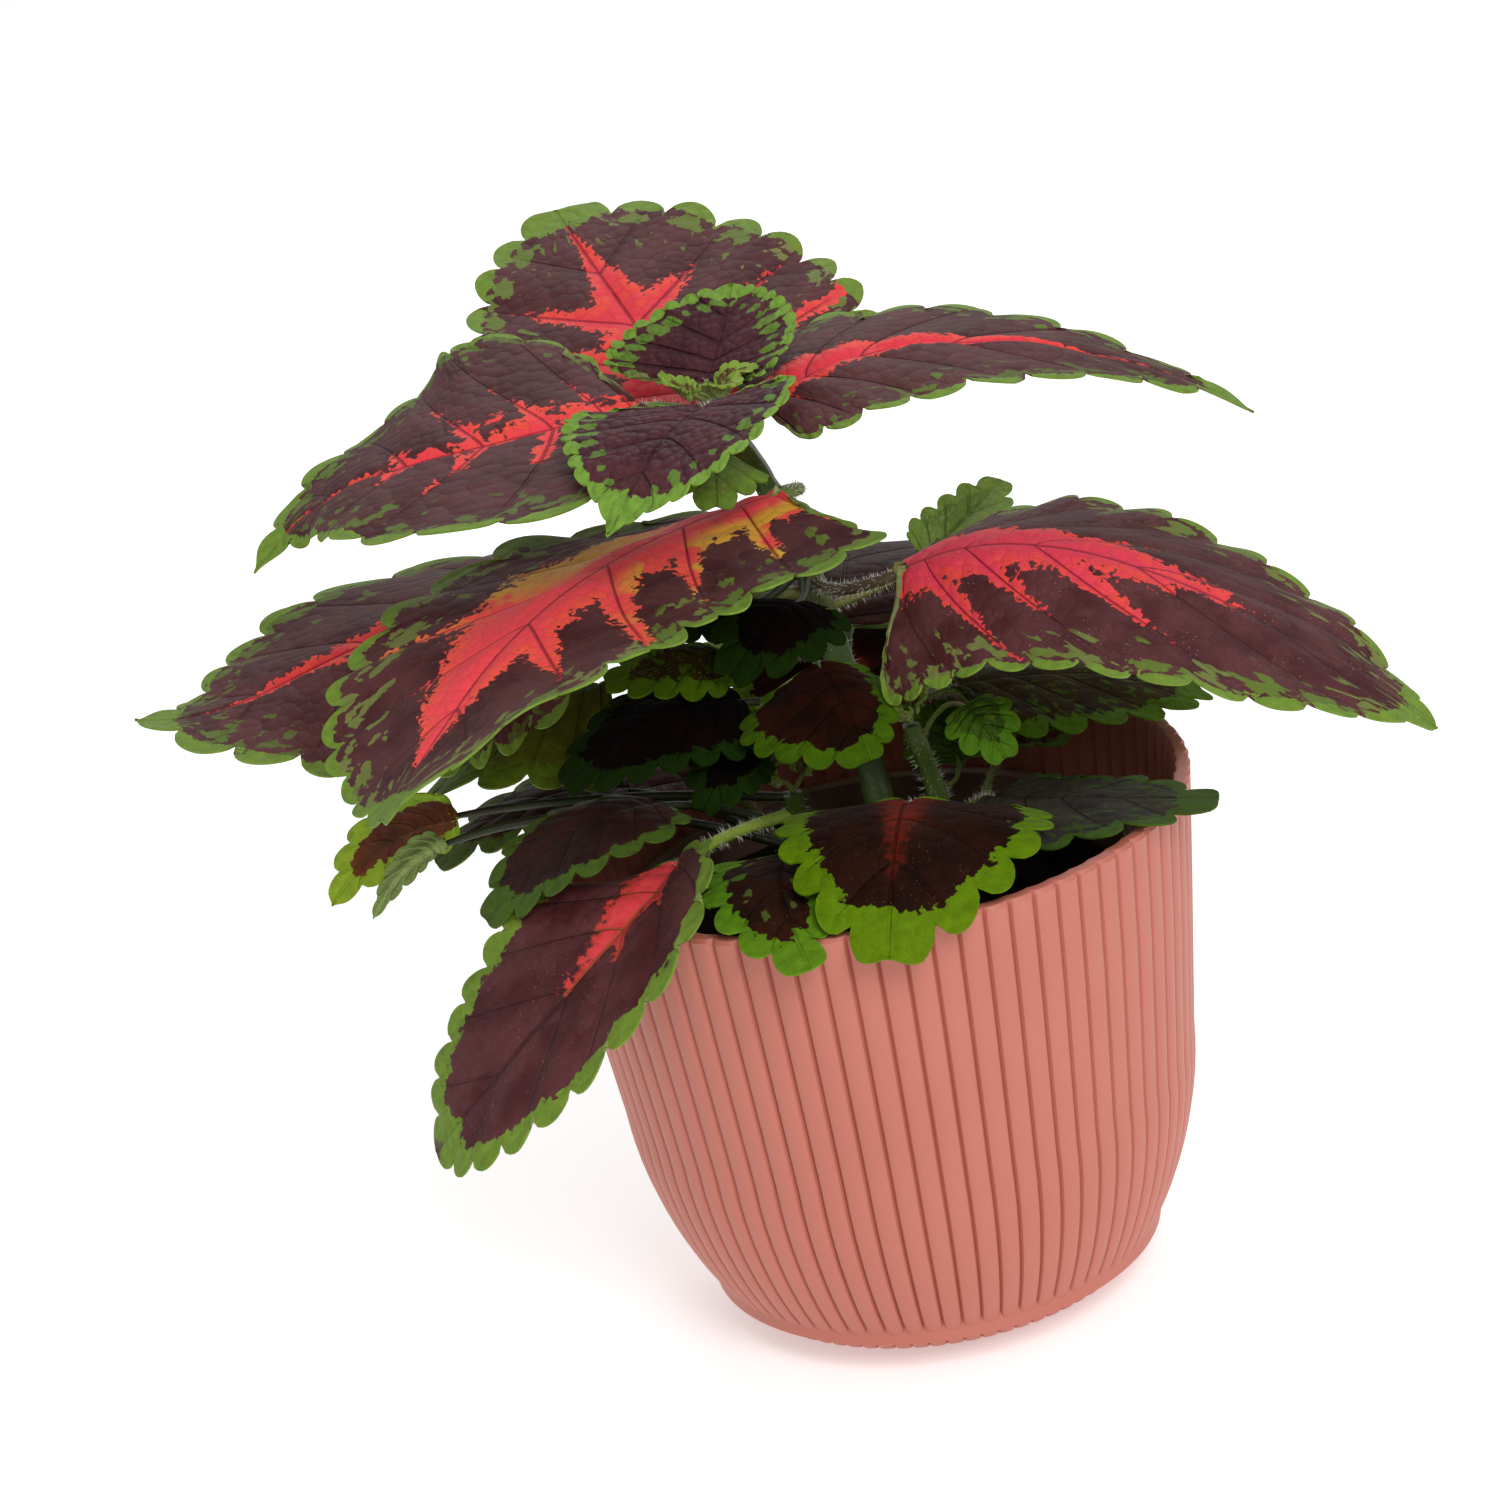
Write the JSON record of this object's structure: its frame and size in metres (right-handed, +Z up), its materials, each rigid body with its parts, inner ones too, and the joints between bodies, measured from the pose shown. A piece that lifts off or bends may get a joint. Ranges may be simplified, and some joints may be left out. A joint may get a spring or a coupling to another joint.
{
  "type": "potted plant",
  "caption": "Bushy coleus with scalloped maroon leaves, coral flames along the veins and green margins, standing in a ribbed salmon-pink pot.",
  "frame": {"origin": "centre of the pot's flat base, on the surface it stands on", "axes": "+Z up along the pot's axis; the plant is seen from -Y, with +X to the right"},
  "size_m": [0.2723, 0.2057, 0.226],
  "materials": {
    "pink_pot": "satin",
    "taupe_pot": "satin",
    "soil": "rough, crumbly, moist",
    "stem": "satin, with fine hairs",
    "leaf": "satin, quilted between the veins",
    "young_leaf": "satin, quilted between the veins"
  },
  "bodies": {
    "root": {"pot": "pink_pot", "grower_pot": "taupe_pot", "stem_main": "stem", "stem_left": "stem", "stem_right": "stem", "soil": "soil", "leaf_crown_back": "leaf", "leaf_crown_front": "leaf", "leaf_top_left": "leaf", "leaf_top_right": "leaf", "leaf_top_back": "leaf", "leaf_big_front_left": "leaf", "leaf_back_left": "leaf", "leaf_big_right": "leaf", "leaf_inner_front": "leaf", "leaf_back_middle": "leaf", "leaf_inner_left": "leaf", "leaf_under_right": "leaf", "leaf_behind_right": "leaf", "leaf_under_crown": "leaf", "leaf_inner_small": "leaf", "leaf_left_lobed": "leaf", "leaf_inner_upper": "leaf", "leaf_under_sunny": "leaf", "leaf_inner_hanging": "leaf", "leaf_low_left": "leaf", "leaf_left_inner": "leaf", "leaf_rim_front": "leaf", "leaf_left_small": "leaf", "leaf_left_hanging": "leaf", "leaf_left_folded": "leaf", "leaf_centre_front": "leaf", "leaf_over_right_rim": "leaf", "leaf_centre_small": "leaf", "leaf_inner_green": "leaf", "leaf_back_right": "leaf", "leaf_back_low": "leaf", "leaf_back_far_left": "leaf", "shoot_crown": "young_leaf", "shoot_left": "young_leaf", "shoot_right": "young_leaf"}
  },
  "joints": []
}
